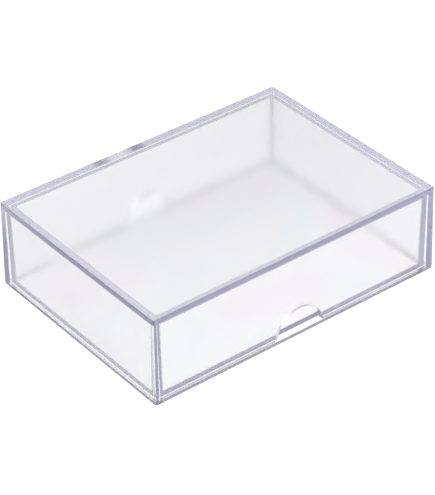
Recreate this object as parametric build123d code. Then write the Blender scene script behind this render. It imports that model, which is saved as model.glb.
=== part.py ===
from build123d import *
import math
import os

# Card deck box: a clear lid that drops over a clear tray until it rests on the tray's flange.
# Frame: X along the box, Y across it, Z up. The origin is the middle of the underside.
# All sizes are in millimetres, and angles in degrees.

# ---- Driving dimensions -------------------------------------------------------------------

# Overall, with the lid on
lid_length = 97.6  # outside of the lid's top, along X
lid_width = 70.5  # outside of the lid's top, along Y
box_height = 27.3  # from the table to the lid's top

# Lid
lid_wall = 1.5  # wall at the top, where it is thinnest
lid_top_thickness = 2.25
lid_outer_draft = 0.9  # how far the outside leans out towards the bottom
lid_inner_draft = 0.1
lid_outer_corner_radius = 0.6  # the four upright edges outside
lid_ceiling_fillet = 0.25  # where the inside of the walls meets the ceiling
lid_top_edge_radius = 0.25

# Thumb notches, one in the lower edge of each long wall of the lid
notch_width = 16.4  # along the lower edge
notch_height = 7.6  # from the lower edge to the top of the arc

# Tray
tray_wall = 1.5
tray_floor_thickness = 1.8
tray_outer_draft = 0.2  # how far the outside leans in towards the floor
tray_inner_draft = 0.5
tray_floor_fillet = 0.4  # where the inside of the walls meets the floor
tray_rim_radius = 0.12
flange_thickness = 1.1
flange_corner_radius = 0.8

# Fits
side_clearance = 0.15  # between the tray's rim and the lid, on each side
rim_clearance = 0.05  # between the tray's rim and the foot of the lid's ceiling fillet
corner_margin = 0.2  # how far an upright inside corner is rounded beyond the fillet it meets
corner_clearance = 0.1  # how far the tray's upright edges are rounded beyond the lid's inside

# ---- Sizes that follow --------------------------------------------------------------------

lid_inner_corner_radius = lid_ceiling_fillet + corner_margin
tray_inner_corner_radius = tray_floor_fillet + corner_margin
tray_outer_corner_radius = lid_inner_corner_radius + corner_clearance
lid_bottom_z = flange_thickness
ceiling_z = box_height - lid_top_thickness
rim_z = ceiling_z - lid_ceiling_fillet - rim_clearance


def lean(angle, height):
    """How far a wall that leans at an angle moves sideways over a height."""
    return math.tan(math.radians(angle)) * height


# The lid's outside and inside, as half sizes at a height
def lid_outside(z):
    grown = lean(lid_outer_draft, box_height - z)
    return lid_length / 2 + grown, lid_width / 2 + grown


def lid_inside(z):
    grown = lean(lid_inner_draft, ceiling_z - z) - lid_wall
    return lid_length / 2 + grown, lid_width / 2 + grown


# The tray's outside and inside, as half sizes at a height
def tray_outside(z):
    half_length, half_width = lid_inside(rim_z)
    shrunk = lean(tray_outer_draft, rim_z - z) + side_clearance
    return half_length - shrunk, half_width - shrunk


def tray_inside(z):
    half_length, half_width = tray_outside(rim_z)
    shrunk = lean(tray_inner_draft, rim_z - z) + tray_wall
    return half_length - shrunk, half_width - shrunk


def leaning_block(half_sizes, low_z, high_z, corner_radius):
    """A block with rounded upright edges, whose four sides lean as half_sizes says."""
    sections = []
    for z in (low_z, high_z):
        half_length, half_width = half_sizes(z)
        outline = RectangleRounded(2 * half_length, 2 * half_width, corner_radius)
        sections.append(Pos(0, 0, z) * outline)
    return loft(sections, ruled=True)


def level_edges(solid, z):
    """The edges of a solid that lie flat at a height."""
    return solid.edges().filter_by_position(Axis.Z, z - 0.01, z + 0.01)


# ---- Lid ----------------------------------------------------------------------------------


def thumb_notch_cutter():
    """A round bar across the box, whose top is the arc of both notches."""
    radius = (notch_width**2 / 4 + notch_height**2) / (2 * notch_height)
    axis_z = lid_bottom_z + notch_height - radius
    reach = 2 * lid_outside(lid_bottom_z)[1] + notch_width
    bar = Cylinder(radius, reach, rotation=(90, 0, 0))
    return Pos(0, 0, axis_z) * bar


def make_lid_cover():
    cover = leaning_block(lid_outside, lid_bottom_z, box_height, lid_outer_corner_radius)
    cover = fillet(level_edges(cover, box_height), lid_top_edge_radius)
    hollow = leaning_block(lid_inside, lid_bottom_z, ceiling_z, lid_inner_corner_radius)
    hollow = fillet(level_edges(hollow, ceiling_z), lid_ceiling_fillet)
    return cover - hollow - thumb_notch_cutter()


# ---- Tray ---------------------------------------------------------------------------------


def make_flange():
    half_length, half_width = lid_outside(0)
    outline = RectangleRounded(2 * half_length, 2 * half_width, flange_corner_radius)
    return extrude(outline, flange_thickness)


def make_base_tray():
    walls = leaning_block(tray_outside, 0, rim_z, tray_outer_corner_radius)
    hollow = leaning_block(tray_inside, tray_floor_thickness, rim_z, tray_inner_corner_radius)
    hollow = fillet(level_edges(hollow, tray_floor_thickness), tray_floor_fillet)
    tray = walls + make_flange() - hollow
    return fillet(level_edges(tray, rim_z), tray_rim_radius)


# ---- Write one STEP per piece -------------------------------------------------------------

pieces = {
    "base_tray": make_base_tray(),
    "lid_cover": make_lid_cover(),
}

os.makedirs("parts", exist_ok=True)
for name, piece in pieces.items():
    export_step(piece, f"parts/{name}.step")
    print(name, "volume", round(piece.volume), "mm3, size", piece.bounding_box().size)
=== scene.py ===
# %% [markdown]
# The object is a card deck box: two shells of clear moulded polystyrene, with nothing else in or on it.
# The tray holds the deck, and its floor stands out past its walls as a flange. The lid drops over the
# tray until its lower edge rests on that flange. The frame below brings in both shells with their real
# sizes, so everything that follows takes its place from them.

# %% Bring in the frame
import math

import bmesh
import bpy
from mathutils import Matrix, Vector


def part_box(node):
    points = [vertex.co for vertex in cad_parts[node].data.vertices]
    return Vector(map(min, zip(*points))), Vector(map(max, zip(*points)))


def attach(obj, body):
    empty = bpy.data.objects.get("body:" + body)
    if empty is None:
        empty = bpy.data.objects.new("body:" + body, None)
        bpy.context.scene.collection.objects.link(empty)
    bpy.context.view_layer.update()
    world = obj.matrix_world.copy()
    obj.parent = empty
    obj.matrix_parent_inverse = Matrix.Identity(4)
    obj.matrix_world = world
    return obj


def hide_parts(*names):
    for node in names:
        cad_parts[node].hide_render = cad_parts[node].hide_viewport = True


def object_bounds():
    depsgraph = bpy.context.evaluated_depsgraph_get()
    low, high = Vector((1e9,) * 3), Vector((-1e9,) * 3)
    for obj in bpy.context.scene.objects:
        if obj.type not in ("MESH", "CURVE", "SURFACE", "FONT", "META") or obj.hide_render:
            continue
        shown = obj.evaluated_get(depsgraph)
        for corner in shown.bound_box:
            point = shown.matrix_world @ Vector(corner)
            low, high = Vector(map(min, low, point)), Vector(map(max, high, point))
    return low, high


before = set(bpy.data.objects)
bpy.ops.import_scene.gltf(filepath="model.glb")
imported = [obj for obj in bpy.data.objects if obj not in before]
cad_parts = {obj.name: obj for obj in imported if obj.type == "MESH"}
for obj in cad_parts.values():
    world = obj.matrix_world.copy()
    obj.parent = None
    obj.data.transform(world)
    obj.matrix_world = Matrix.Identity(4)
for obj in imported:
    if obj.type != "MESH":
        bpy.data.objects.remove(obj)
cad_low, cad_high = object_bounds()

MM = 0.001
lid_low, lid_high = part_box("lid_cover")
tray_low, tray_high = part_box("base_tray")

# %% [markdown]
# Clear plastic shows its shape almost only along its edges, where the light runs through a long piece of
# wall, so the sections have to be right: how thick each wall is, how it leans, and how each corner is
# rounded. A modifier such as Solidify gives one thickness everywhere. A mould doesn't, because each face
# leans a little so that the part comes out. That is why each shell here is made as a stack of level
# outlines, from which bmesh makes bands of faces.

# %% One level outline, and a skin over a stack of them
CORNER_STEPS = 10
SMALLEST_CORNER = 0.05 * MM


def outline(half_x, half_y, corner, z):
    """Points of a rounded rectangle at a height, anticlockwise from the +X side."""
    corner = max(corner, SMALLEST_CORNER)
    points = []
    for sign_x, sign_y, start in ((1, 1, 0), (-1, 1, 90), (-1, -1, 180), (1, -1, 270)):
        centre_x, centre_y = sign_x * (half_x - corner), sign_y * (half_y - corner)
        for step in range(CORNER_STEPS + 1):
            turn = math.radians(start + 90 * step / CORNER_STEPS)
            points.append((centre_x + corner * math.cos(turn), centre_y + corner * math.sin(turn), z))
    return points


def skin(name, outlines):
    """A closed shell: bands of quads from outline to outline, and a flat face at each end."""
    made = bmesh.new()
    loops = [[made.verts.new(point) for point in points] for points in outlines]
    count = len(loops[0])
    for lower, upper in zip(loops, loops[1:]):
        for i in range(count):
            j = (i + 1) % count
            made.faces.new((lower[i], lower[j], upper[j], upper[i]))
    made.faces.new(list(reversed(loops[0])))
    made.faces.new(loops[-1])
    bmesh.ops.recalc_face_normals(made, faces=made.faces)
    mesh = bpy.data.meshes.new(name)
    made.to_mesh(mesh)
    made.free()
    piece = bpy.data.objects.new(name, mesh)
    bpy.context.scene.collection.objects.link(piece)
    return piece


def quarter(steps, start, end):
    """Angles of a rounded edge, in radians."""
    return [math.radians(start + (end - start) * i / steps) for i in range(steps + 1)]


# %% [markdown]
# The lid is an upturned box. Outside, its walls lean out towards the bottom by about 0.4 mm, so that it
# comes out of the mould. Inside they are almost upright, because they slide along the tray, so the
# wall gets thicker downwards. The outline stack goes over the top, down the outside, round the lower lip
# and up the inside to the ceiling.

# %% The lid's sizes
LID_TOP = 2.25 * MM
LID_WALL = 1.5 * MM
LID_SPAN = 27.3  # the height in mm over which the lid's leans are stated
LID_INNER_LEAN = 0.045 * MM / (LID_SPAN * MM)
LID_LEAN = 0.429 / LID_SPAN
LID_EDGE = 0.25 * MM
LID_LIP = 0.08 * MM
LID_CORNER = 0.6 * MM
LID_INNER_CORNER = 0.45 * MM
CEILING_FILLET = 0.25 * MM
SEAM = 0.02 * MM
LID_INSIDE_SOLID = 0.02 * MM
LID_EDGE_STEPS, LIP_STEPS, FILLET_STEPS = 5, 4, 8

top_z = lid_high.z
lip_z = lid_low.z + SEAM
ceiling_z = top_z - LID_TOP
lid_x, lid_y = lid_high.x - LID_INSIDE_SOLID, lid_high.y - LID_INSIDE_SOLID
narrow = LID_LEAN * (top_z - lip_z)


def lid_outside(z, inset=0.0):
    """Half sizes of the lid's outside at a height."""
    grown = LID_LEAN * (top_z - z) - narrow - inset
    return lid_x + grown, lid_y + grown


def lid_inside(z, inset=0.0):
    """Half sizes of the lid's inside at a height."""
    grown = LID_INNER_LEAN * (top_z - z) - narrow - LID_WALL - inset
    return lid_x + grown, lid_y + grown


# %% The lid's outline stack
lid_outlines = []
for turn in quarter(LID_EDGE_STEPS, 90, 0):
    inset = LID_EDGE * (1 - math.cos(turn))
    z = top_z - LID_EDGE * (1 - math.sin(turn))
    lid_outlines.append(outline(*lid_outside(z, inset), LID_CORNER - inset, z))
for turn in quarter(LIP_STEPS, 0, -90):
    inset = LID_LIP * (1 - math.cos(turn))
    z = lip_z + LID_LIP + LID_LIP * math.sin(turn)
    lid_outlines.append(outline(*lid_outside(z, inset), LID_CORNER - inset, z))
for turn in quarter(LIP_STEPS, -90, -180):
    inset = LID_LIP * (1 + math.cos(turn)) - LID_LIP
    z = lip_z + LID_LIP + LID_LIP * math.sin(turn)
    lid_outlines.append(outline(*lid_inside(z, inset), LID_INNER_CORNER - inset, z))
for turn in quarter(FILLET_STEPS, 0, 90):
    inset = CEILING_FILLET * (1 - math.cos(turn))
    z = ceiling_z - CEILING_FILLET * (1 - math.sin(turn))
    lid_outlines.append(outline(*lid_inside(z, inset), LID_INNER_CORNER - inset, z))
lid = skin("clear_lid_shell", lid_outlines)
print("lid outlines", len(lid_outlines), "top half sizes", lid_outside(top_z), "ceiling", ceiling_z)

# %% [markdown]
# Each long wall of the lid has a thumb notch in its lower edge, so that a thumb and a finger can hold the
# tray while the lid is pulled off. It is a shallow arc. It could be cut by moving points, but a Boolean
# with a fine round bar keeps the arc true, and the bar is deleted once the cut is made.

# %% Cut the thumb notches
NOTCH_WIDTH = 16.4 * MM
NOTCH_HEIGHT = 7.6 * MM
NOTCH_SIDES = 128
BAR_LENGTH = 3 * lid_y
notch_radius = (NOTCH_WIDTH**2 / 4 + NOTCH_HEIGHT**2) / (2 * NOTCH_HEIGHT)


def cut_notches(piece):
    """Cut one round bar out of both long walls."""
    made = bmesh.new()
    bar = bmesh.ops.create_cone(
        made,
        cap_ends=True,
        segments=NOTCH_SIDES,
        radius1=notch_radius,
        radius2=notch_radius,
        depth=BAR_LENGTH,
    )
    for corner in bar["verts"]:
        x, y, z = corner.co
        corner.co = (x, z, y + lid_low.z + NOTCH_HEIGHT - notch_radius)
    bmesh.ops.recalc_face_normals(made, faces=made.faces)
    mesh = bpy.data.meshes.new("notch_bar")
    made.to_mesh(mesh)
    made.free()
    cutter = bpy.data.objects.new("notch_bar", mesh)
    bpy.context.scene.collection.objects.link(cutter)
    cut = piece.modifiers.new("notches", "BOOLEAN")
    cut.object, cut.solver, cut.operation = cutter, "EXACT", "DIFFERENCE"
    view = bpy.context.evaluated_depsgraph_get()
    piece.data = bpy.data.meshes.new_from_object(piece.evaluated_get(view))
    piece.modifiers.clear()
    bpy.data.objects.remove(cutter)


cut_notches(lid)
print("lid after the notches", len(lid.data.polygons), "faces")

# %% [markdown]
# The tray is a thin box whose floor stands out as a flange under the lid's lip. Its outline stack starts
# under the flange, goes up the outside to the rim, over it and down the inside, and ends on the floor.

# %% The tray's sizes
FLANGE = 1.1 * MM
FLANGE_EDGE = 0.12 * MM
FLANGE_CORNER = 0.8 * MM
TRAY_WALL = 1.5 * MM
TRAY_FLOOR = 1.8 * MM
TRAY_SPAN = 23.9  # the height in mm over which the tray's leans are stated
TRAY_LEAN = 0.083 / TRAY_SPAN
TRAY_INNER_LEAN = 0.2 / TRAY_SPAN
TRAY_CORNER = 0.55 * MM
TRAY_INNER_CORNER = 0.6 * MM
FLOOR_FILLET = 0.4 * MM
RIM_EDGE = 0.12 * MM
SIDE_GAP = 0.15 * MM
TRAY_INSIDE_SOLID = 0.01 * MM
TRAY_EDGE_STEPS = 4

rim_z = tray_high.z
flange_x, flange_y = tray_high.x - TRAY_INSIDE_SOLID, tray_high.y - TRAY_INSIDE_SOLID


def tray_outside(z, inset=0.0):
    """Half sizes of the tray's outside at a height."""
    half_x, half_y = lid_inside(rim_z)
    shrunk = TRAY_LEAN * (rim_z - z) + SIDE_GAP + inset
    return half_x - shrunk, half_y - shrunk


def tray_inside(z, inset=0.0):
    """Half sizes of the tray's inside at a height."""
    half_x, half_y = tray_outside(rim_z)
    shrunk = TRAY_INNER_LEAN * (rim_z - z) + TRAY_WALL + inset
    return half_x - shrunk, half_y - shrunk


# %% The tray's outline stack
tray_outlines = []
for turn in quarter(TRAY_EDGE_STEPS, -90, 0):
    inset = FLANGE_EDGE * (1 - math.cos(turn))
    z = FLANGE_EDGE + FLANGE_EDGE * math.sin(turn)
    tray_outlines.append(outline(flange_x - inset, flange_y - inset, FLANGE_CORNER - inset, z))
for turn in quarter(TRAY_EDGE_STEPS, 0, 90):
    inset = FLANGE_EDGE * (1 - math.cos(turn))
    z = FLANGE - FLANGE_EDGE + FLANGE_EDGE * math.sin(turn)
    tray_outlines.append(outline(flange_x - inset, flange_y - inset, FLANGE_CORNER - inset, z))
tray_outlines.append(outline(*tray_outside(FLANGE), TRAY_CORNER, FLANGE))
for turn in quarter(TRAY_EDGE_STEPS, 0, 90):
    inset = RIM_EDGE * (1 - math.cos(turn))
    z = rim_z - RIM_EDGE + RIM_EDGE * math.sin(turn)
    tray_outlines.append(outline(*tray_outside(z, inset), TRAY_CORNER - inset, z))
for turn in quarter(TRAY_EDGE_STEPS, 90, 180):
    inset = RIM_EDGE * (1 + math.cos(turn)) - RIM_EDGE
    z = rim_z - RIM_EDGE + RIM_EDGE * math.sin(turn)
    tray_outlines.append(outline(*tray_inside(z, inset), TRAY_INNER_CORNER - inset, z))
for turn in quarter(FILLET_STEPS, 0, -90):
    inset = FLOOR_FILLET * (1 - math.cos(turn))
    z = TRAY_FLOOR + FLOOR_FILLET + FLOOR_FILLET * math.sin(turn)
    tray_outlines.append(outline(*tray_inside(z, inset), TRAY_INNER_CORNER - inset, z))
tray = skin("clear_tray_shell", tray_outlines)
print("tray outlines", len(tray_outlines), "floor", tray_inside(TRAY_FLOOR), "rim", rim_z)

# %% [markdown]
# Smooth shading alone would bend the light at the flat panels too, and make them look like lenses. Real
# panels are flat, and only their narrow edges are round. Marking the sharp folds and weighting the
# normals by face size keeps each panel flat up to its rounded edge.

# %% Keep the flat panels flat
SHARP_FOLD = math.radians(32)
FACE_SIZE_WEIGHT = 100


def dress_normals(piece):
    """Smooth the rounded edges and leave the panels flat."""
    made = bmesh.new()
    made.from_mesh(piece.data)
    for face in made.faces:
        face.smooth = True
    for edge in made.edges:
        if len(edge.link_faces) == 2 and edge.calc_face_angle(0) > SHARP_FOLD:
            edge.smooth = False
    made.to_mesh(piece.data)
    made.free()
    weighted = piece.modifiers.new("flat_panels", "WEIGHTED_NORMAL")
    weighted.weight, weighted.keep_sharp = FACE_SIZE_WEIGHT, True


for piece in (lid, tray):
    dress_normals(piece)
    print(piece.name, "sharp folds", sum(edge.use_edge_sharp for edge in piece.data.edges))

# %% [markdown]
# Each shell takes the place of its solid in the frame. The lid rides on the lid's body, so that it lifts
# off, and the tray on the tray's.

# %% Put the shells in the frame
for piece, body, node, slot in (
    (lid, "lid", "lid_cover", "clear_lid"),
    (tray, "tray", "base_tray", "clear_tray"),
):
    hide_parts(node)
    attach(piece, body)

# %% [markdown]
# The finish comes next. Shader sums are easiest to read as ordinary expressions, so one small class wraps
# a socket and turns each operator into a Math node. Every other node comes from one method that takes its
# type, its settings and its sockets.


# %% Sockets that add up, and one way to make any other node
class Value:
    """A node's output that can be used in sums: mask * 0.4 + 0.1 adds its own Math nodes."""

    def __init__(self, recipe, socket):
        self.recipe, self.socket = recipe, socket

    def __add__(self, other):
        return self.recipe.sum("ADD", self, other)

    def __radd__(self, other):
        return self.recipe.sum("ADD", other, self)

    def __sub__(self, other):
        return self.recipe.sum("SUBTRACT", self, other)

    def __rsub__(self, other):
        return self.recipe.sum("SUBTRACT", other, self)

    def __mul__(self, other):
        return self.recipe.sum("MULTIPLY", self, other)

    def __rmul__(self, other):
        return self.recipe.sum("MULTIPLY", other, self)


class Recipe:
    """The nodes of one material or world."""

    def __init__(self, tree):
        self.tree = tree

    def node(self, kind, settings=None, sockets=None):
        made = self.tree.nodes.new(kind)
        for name, value in (settings or {}).items():
            if name == "stops":
                ramp = made.color_ramp
                while len(ramp.elements) > 1:
                    ramp.elements.remove(ramp.elements[0])
                ramp.elements[0].position, ramp.elements[0].color = value[0]
                for place, colour in value[1:]:
                    ramp.elements.new(place).color = colour
            else:
                setattr(made, name, value)
        for name, value in (sockets or {}).items():
            self.feed(made.inputs[name], value)
        return made

    def feed(self, socket, value):
        if isinstance(value, Value):
            self.tree.links.new(value.socket, socket)
        else:
            socket.default_value = value

    def out(self, made, name=0):
        return Value(self, made.outputs[name])

    def sum(self, operation, first, second=0.0):
        return self.out(self.node("ShaderNodeMath", {"operation": operation}, {0: first, 1: second}))

    def part(self, amount, low, high):
        """0 below low, 1 above high, smooth between."""
        ramp = self.node(
            "ShaderNodeMapRange",
            {"interpolation_type": "SMOOTHSTEP"},
            {"Value": amount, "From Min": low, "From Max": high},
        )
        return self.out(ramp, "Result")

    def blend(self, amount, plain, marked):
        """One colour where amount is 0, the other where it is 1."""
        mix = self.node("ShaderNodeMix", {"data_type": "RGBA"}, {0: amount, 6: plain, 7: marked})
        return self.out(mix, 2)


# %% [markdown]
# Clear polystyrene bends light strongly and takes a little out of it, the red and green more than the
# blue, which is why the long way through an edge looks violet. That belongs in Volume Absorption, because
# it grows with the length of the way, and a tint on the surface doesn't. The three losses, in parts per
# metre, were set until the edges looked right. They weren't measured on real plastic.

# %% The plastic
POLYSTYRENE_IOR = 1.59
ABSORPTION = (7.6, 7.9, 3.3)
DENSITY_HEADROOM = 1.25


def clear_plastic(piece):
    """A clear material on the whole piece, with its recipe and its shader to add marks to."""
    material = bpy.data.materials.new(piece.name.replace("shell", "plastic"))
    material.use_nodes = True
    recipe = Recipe(material.node_tree)
    shader = material.node_tree.nodes["Principled BSDF"]
    shader.inputs["IOR"].default_value = POLYSTYRENE_IOR
    shader.inputs["Transmission Weight"].default_value = 1.0
    density = DENSITY_HEADROOM * max(ABSORPTION)
    colour = tuple(1 - loss / density for loss in ABSORPTION) + (1,)
    inside = recipe.node("ShaderNodeVolumeAbsorption", None, {"Color": colour, "Density": density})
    output = material.node_tree.nodes["Material Output"]
    recipe.feed(output.inputs["Volume"], recipe.out(inside))
    piece.data.materials.clear()
    piece.data.materials.append(material)
    return recipe, shader


# %% [markdown]
# Nothing on a cheap moulded box is quite even. A mould leaves patches of haze and slow waves, handling
# leaves hairlines, and a few specks are caught in the plastic. All of them come from noise in the piece's
# own coordinates, so each mark has a real size in millimetres and stays with the piece when it moves.

# %% Patches, hairlines and specks
PATCH_MIDDLE = 0.5
SMOOTH = 1.0
HAIRLINE_WIDTH = 0.35 * MM
HAIRLINE_STRETCH = 0.03
HAIRLINE_LEVELS = (0.66, 0.72)
WORN_PATCH = 16 * MM
WORN_LEVELS = (0.45, 0.62)
SPECK_SPACING = 5.0 * MM
SPECK_RADIUS = 0.28 * MM
SPECK_CORE = 0.6
SPECK_CHOICE = 0.01
SPECK_COLOUR = (0.5, 0.48, 0.5, 1)
CLEAR = (1, 1, 1, 1)


def own_place(recipe, scale=(1, 1, 1), turn=0.0):
    """The piece's own coordinates in metres, turned about Z and stretched."""
    own = recipe.out(recipe.node("ShaderNodeTexCoord"), "Object")
    sockets = {"Vector": own, "Rotation": (0, 0, turn), "Scale": scale}
    return recipe.out(recipe.node("ShaderNodeMapping", None, sockets))


def patches(recipe, across, where=None, detail=3.0):
    """Uneven patches this far across, from 0 to 1."""
    where = where or own_place(recipe)
    sockets = {"Vector": where, "Scale": 1 / across, "Detail": detail}
    return recipe.out(recipe.node("ShaderNodeTexNoise", None, sockets))


def hairlines(recipe, turn):
    """Fine scratches one way across the piece, 1 where a line runs."""
    stretched = own_place(recipe, (HAIRLINE_STRETCH, 1, 1), turn)
    lines = patches(recipe, HAIRLINE_WIDTH, stretched, SMOOTH)
    worn = patches(recipe, WORN_PATCH)
    return recipe.part(lines, *HAIRLINE_LEVELS) * recipe.part(worn, *WORN_LEVELS)


def specks(recipe, left_out):
    """Small round specks, 1 inside each. left_out is the part of them that isn't shown, from 0 to 1."""
    sockets = {"Vector": own_place(recipe), "Scale": 1 / SPECK_SPACING}
    cells = recipe.node("ShaderNodeTexVoronoi", None, sockets)
    core, rim = SPECK_CORE * SPECK_RADIUS / SPECK_SPACING, SPECK_RADIUS / SPECK_SPACING
    near = 1 - recipe.part(recipe.out(cells, "Distance"), core, rim)
    split = recipe.node("ShaderNodeSeparateColor", None, {"Color": recipe.out(cells, "Color")})
    return near * recipe.part(recipe.out(split), left_out, left_out + SPECK_CHOICE)


def own_axes(recipe):
    """The piece's own X, Y and Z, in metres."""
    split = recipe.node("ShaderNodeSeparateXYZ", None, {"Vector": own_place(recipe)})
    return [recipe.out(split, name) for name in ("X", "Y", "Z")]


def upright_corners(recipe, half_x, half_y, reach):
    """1 at the four upright edges, falling to 0 this far from them."""
    along, across, _ = own_axes(recipe)
    near_end = recipe.part(recipe.sum("ABSOLUTE", along), half_x - reach, half_x)
    near_side = recipe.part(recipe.sum("ABSOLUTE", across), half_y - reach, half_y)
    return near_end * near_side


# %% [markdown]
# The lid is the part that is handled. Its gloss is broken by haze and by hairlines that run along and
# across it, because it slides on and off the tray and over the table. Close to each upright corner the
# plastic cools last, so the wall is a little wavy there. The wave is slight, and hard to see.

# %% The lid's finish
LID_GLOSS = 0.125
LID_HAZE_PATCH = 20 * MM
ALONG, ACROSS = 0.12, 1.45
LID_SPECKS_LEFT_OUT = 0.86
HAZE_ROUGH, SCRATCH_ROUGH, SPECK_ROUGH = 0.03, 0.1, 0.2
CORNER_WAVE_REACH = 7 * MM
CORNER_RUB_REACH = 2.5 * MM
CORNER_RUB = 0.03
LID_WAVE, LID_WAVE_HEIGHT = 14 * MM, 0.4
CORNER_WAVE, CORNER_WAVE_HEIGHT = 5 * MM, 3
LID_BUMP = 0.05 * MM


def finish_lid(piece):
    """Haze, hairlines, specks, rubbed corners and waves on the lid."""
    recipe, shader = clear_plastic(piece)
    haze = patches(recipe, LID_HAZE_PATCH)
    scratched = hairlines(recipe, ALONG) + hairlines(recipe, ACROSS)
    dirt = specks(recipe, LID_SPECKS_LEFT_OUT)
    recipe.feed(shader.inputs["Base Color"], recipe.blend(dirt, CLEAR, SPECK_COLOUR))
    rubbed = upright_corners(recipe, lid_x, lid_y, CORNER_RUB_REACH)
    rough = LID_GLOSS + haze * HAZE_ROUGH + scratched * SCRATCH_ROUGH + dirt * SPECK_ROUGH
    recipe.feed(shader.inputs["Roughness"], rough + rubbed * CORNER_RUB)
    wavy = upright_corners(recipe, lid_x, lid_y, CORNER_WAVE_REACH)
    slow = patches(recipe, LID_WAVE, detail=SMOOTH) * LID_WAVE_HEIGHT
    waves = slow + wavy * patches(recipe, CORNER_WAVE, detail=SMOOTH) * CORNER_WAVE_HEIGHT
    bump = recipe.node("ShaderNodeBump", None, {"Height": waves, "Strength": 1.0, "Distance": LID_BUMP})
    recipe.feed(shader.inputs["Normal"], recipe.out(bump))
    print("lid finish", len(recipe.tree.nodes), "nodes")


finish_lid(lid)

# %% [markdown]
# The tray is hardly scratched, because the lid covers it. What shows there is how it was moulded: the
# plastic flowed out from the middle of the floor and froze under stress, and that can leave pale rainbow
# patches and slow ripples round the middle. The tints are kept to the floor, where they would be seen.

# %% The tray's finish
TRAY_GLOSS = 0.135
TRAY_HAZE_PATCH = 12 * MM
TRAY_SPECKS_LEFT_OUT = 0.93
STRESS_PATCH, STRESS_DETAIL = 34 * MM, 0.5
FLOOR_TINT_FADE = (TRAY_FLOOR + 0.4 * MM, TRAY_FLOOR + 2 * MM)
RIPPLE_SPACING, RIPPLE_HEIGHT = 6 * MM, 0.06
RIPPLE_UNEVEN_PATCH, RIPPLE_UNEVEN = 15 * MM, 9
TRAY_WAVE = 11 * MM
TRAY_BUMP = 0.03 * MM
STRESS_COLOURS = (
    (0.0, (1.0, 1.0, 1.0, 1)),
    (0.38, (1.0, 0.995, 0.985, 1)),
    (0.46, (0.955, 0.995, 0.99, 1)),
    (0.54, (1.0, 1.0, 1.0, 1)),
    (0.62, (0.995, 0.965, 0.985, 1)),
    (1.0, (1.0, 1.0, 1.0, 1)),
)


def finish_tray(piece):
    """Stress tints, specks, haze, rubbed corners and ripples on the tray."""
    recipe, shader = clear_plastic(piece)
    stress = patches(recipe, STRESS_PATCH, detail=STRESS_DETAIL)
    colour = recipe.node("ShaderNodeValToRGB", {"stops": STRESS_COLOURS}, {"Fac": stress})
    dirt = specks(recipe, TRAY_SPECKS_LEFT_OUT)
    on_floor = 1 - recipe.part(own_axes(recipe)[2], *FLOOR_TINT_FADE)
    tint = recipe.blend(on_floor, CLEAR, recipe.out(colour))
    recipe.feed(shader.inputs["Base Color"], recipe.blend(dirt, tint, SPECK_COLOUR))
    haze = patches(recipe, TRAY_HAZE_PATCH)
    rubbed = upright_corners(recipe, *tray_outside(rim_z), CORNER_RUB_REACH)
    rough = TRAY_GLOSS + haze * HAZE_ROUGH + dirt * SPECK_ROUGH
    recipe.feed(shader.inputs["Roughness"], rough + rubbed * CORNER_RUB)
    length = recipe.node("ShaderNodeVectorMath", {"operation": "LENGTH"}, {0: own_place(recipe)})
    rings = recipe.out(length, "Value") * (2 * math.pi / RIPPLE_SPACING)
    ripples = recipe.sum("SINE", rings + patches(recipe, RIPPLE_UNEVEN_PATCH) * RIPPLE_UNEVEN)
    waves = ripples * RIPPLE_HEIGHT + patches(recipe, TRAY_WAVE, detail=SMOOTH)
    bump = recipe.node("ShaderNodeBump", None, {"Height": waves, "Strength": 1.0, "Distance": TRAY_BUMP})
    recipe.feed(shader.inputs["Normal"], recipe.out(bump))
    print("tray finish", len(recipe.tree.nodes), "nodes")


finish_tray(tray)

# %% [markdown]
# The box stands on a white light table: a pale sheet that glows, so there is no hard shadow. The box still
# shades the sheet a little, mostly under its far side, and that is why its floor looks pale grey rather
# than white. A lamp could cast that shade. Here it is painted into the glow of the sheet instead, which is
# simpler and free of noise, but it stays where it is when the lid is lifted. The sheet is a plain grid.

# %% The light table
TABLE_REACH = 3.0
TABLE_GAP = 0.2 * MM
TABLE_GLOW = (1.14, 1.14, 1.14, 1)
TABLE_SHADED = (0.93, 0.93, 0.93, 1)
TABLE_ROUGH = 0.9
SHADE_EDGE = 4 * MM
FAR_SIDE_FROM, FAR_SIDE_SKEW = -8 * MM, 0.25
RIGHT_SIDE = (-38 * MM, -12 * MM)
SHADE_PATCH = 30 * MM
SHADE_DEPTH, SHADE_UNEVEN = 0.5, 0.3

made = bmesh.new()
bmesh.ops.create_grid(made, x_segments=1, y_segments=1, size=TABLE_REACH)
table_mesh = bpy.data.meshes.new("light_table")
made.to_mesh(table_mesh)
made.free()
table = bpy.data.objects.new("light_table", table_mesh)
bpy.context.scene.collection.objects.link(table)
table.location.z = cad_low.z - TABLE_GAP
print("light table at z", table.location.z)

# %% The glow of the table, with the shade under the box
paper = bpy.data.materials.new("white_paper")
paper.use_nodes = True
sheen = paper.node_tree.nodes["Principled BSDF"]
sheen.inputs["Base Color"].default_value = (0.0, 0.0, 0.0, 1)
sheen.inputs["Roughness"].default_value = TABLE_ROUGH
sheen.inputs["Specular IOR Level"].default_value = 0.0
sheen.inputs["Emission Strength"].default_value = 1.0
sheet = Recipe(paper.node_tree)
on_x, on_y, _ = own_axes(sheet)
beyond_end = sheet.part(sheet.sum("ABSOLUTE", on_x), tray_high.x - SHADE_EDGE, tray_high.x)
beyond_side = sheet.part(sheet.sum("ABSOLUTE", on_y), tray_high.y - SHADE_EDGE, tray_high.y)
under = (1 - beyond_end) * (1 - beyond_side)
far_side = sheet.part(on_y + on_x * FAR_SIDE_SKEW, FAR_SIDE_FROM, tray_high.y)
right_side = sheet.part(on_x, *RIGHT_SIDE)
uneven = patches(sheet, SHADE_PATCH)
shade = under * (far_side * right_side * SHADE_DEPTH + (uneven - PATCH_MIDDLE) * SHADE_UNEVEN)
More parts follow.
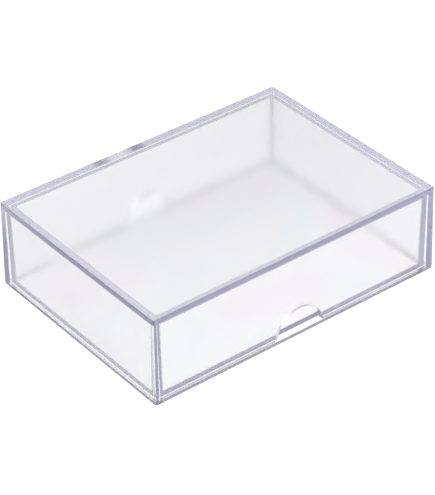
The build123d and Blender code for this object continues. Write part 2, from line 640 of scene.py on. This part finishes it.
sheet.feed(sheen.inputs["Emission Color"], sheet.blend(shade, TABLE_GLOW, TABLE_SHADED))
table_mesh.materials.append(paper)
print("table glow", len(sheet.tree.nodes), "nodes")

# %% [markdown]
# Round the table stands a soft white tent. It is darkest ahead of the camera, and brighter behind it and
# high up at the sides. The dark part ahead draws the edges of the clear walls. Lamps could do it too, but
# a tent painted on the world gives clear plastic something even to mirror, without lamp shapes in it.

# %% The tent of light
AHEAD_X, AHEAD_Y = 0.6144, 0.789
SIDES = {
    "ahead": (AHEAD_X, AHEAD_Y, 0.0),
    "right": (AHEAD_Y, -AHEAD_X, 0.0),
    "behind": (-AHEAD_X, -AHEAD_Y, 0.0),
    "left": (-AHEAD_Y, AHEAD_X, 0.0),
}
TENT_TINT = (0.975, 0.975, 1.05, 1)
TENT_BASE = 0.85
LIFTED_FADE, OVERHEAD_FADE, PANEL_FADE = (0.35, 0.55), (0.75, 0.92), (0.25, 0.7)

# Each side of the tent: how much brighter it is than the base low down, and high up
TENT_PANELS = (
    ("ahead", -0.45, -0.3),
    ("left", 0.0, 1.0),
    ("right", 0.0, 0.4),
    ("behind", 0.3, 0.3),
)

world = bpy.data.worlds.new("tent")
bpy.context.scene.world = world
world.use_nodes = True
tent = Recipe(world.node_tree)
way = tent.out(tent.node("ShaderNodeTexCoord"), "Generated")


def towards(direction):
    """How far a direction of view points this way, from -1 to 1."""
    dot = tent.node("ShaderNodeVectorMath", {"operation": "DOT_PRODUCT"}, {0: way, 1: direction})
    return tent.out(dot, "Value")


height = towards((0, 0, 1))
lifted = tent.part(height, *LIFTED_FADE)
overhead = tent.part(height, *OVERHEAD_FADE)
glow = TENT_BASE
for name, low_strength, high_strength in TENT_PANELS:
    panel = tent.part(towards(SIDES[name]), *PANEL_FADE)
    glow = glow + panel * ((1 - lifted) * low_strength + lifted * (1 - overhead) * high_strength)
background = world.node_tree.nodes["Background"]
background.inputs["Color"].default_value = TENT_TINT
tent.feed(background.inputs["Strength"], glow)
print("tent", len(tent.tree.nodes), "nodes")

# %% [markdown]
# The camera looks down on one corner of the box from about 35 degrees, with a long lens, so that the far
# corner is hardly smaller than the near one.

# %% The camera
AZIMUTH, ELEVATION, ROLL = (math.radians(angle) for angle in (-37.77, 35.162, -0.941))
BOX_LENGTH = 97.6 * MM
DISTANCE = 6.4199 * BOX_LENGTH
TARGET = Vector((0.0829 * BOX_LENGTH, 0.1088 * BOX_LENGTH, cad_low.z))
AIM_LEFT, AIM_UP = 0.20 * MM, 0.01 * MM
SENSOR_WIDTH, FOCAL_LENGTH = 36, 157.95
NEAREST, FURTHEST = 0.01, 20

back = Vector(
    (math.sin(AZIMUTH) * math.cos(ELEVATION), -math.cos(AZIMUTH) * math.cos(ELEVATION), math.sin(ELEVATION))
)
side = (-back).cross(Vector((0, 0, 1))).normalized()
up = side.cross(-back)
axis_x = math.cos(ROLL) * side + math.sin(ROLL) * up
axis_y = -math.sin(ROLL) * side + math.cos(ROLL) * up
placing = Matrix((axis_x, axis_y, back)).transposed().to_4x4()
placing.translation = TARGET - side * AIM_LEFT + up * AIM_UP + back * DISTANCE
lens = bpy.data.cameras.new("camera")
lens.sensor_width, lens.lens = SENSOR_WIDTH, FOCAL_LENGTH
lens.clip_start, lens.clip_end = NEAREST, FURTHEST
camera = bpy.data.objects.new("camera", lens)
bpy.context.scene.collection.objects.link(camera)
camera.matrix_world = placing
scene = bpy.context.scene
scene.camera = camera
scene.view_settings.view_transform = "Standard"
print("camera at", tuple(round(x, 4) for x in camera.location))

# %% [markdown]
# A ray that runs inside a wall can meet dozens of surfaces before it comes out. With the usual limit it
# may be dropped on the way, which darkens the edges, so the limit is raised.

# %% Let the light go through many walls
BOUNCES = 32
scene.cycles.max_bounces = scene.cycles.transmission_bounces = scene.cycles.glossy_bounces = BOUNCES
scene.cycles.caustics_refractive = scene.cycles.caustics_reflective = True
print("bounces", scene.cycles.max_bounces)
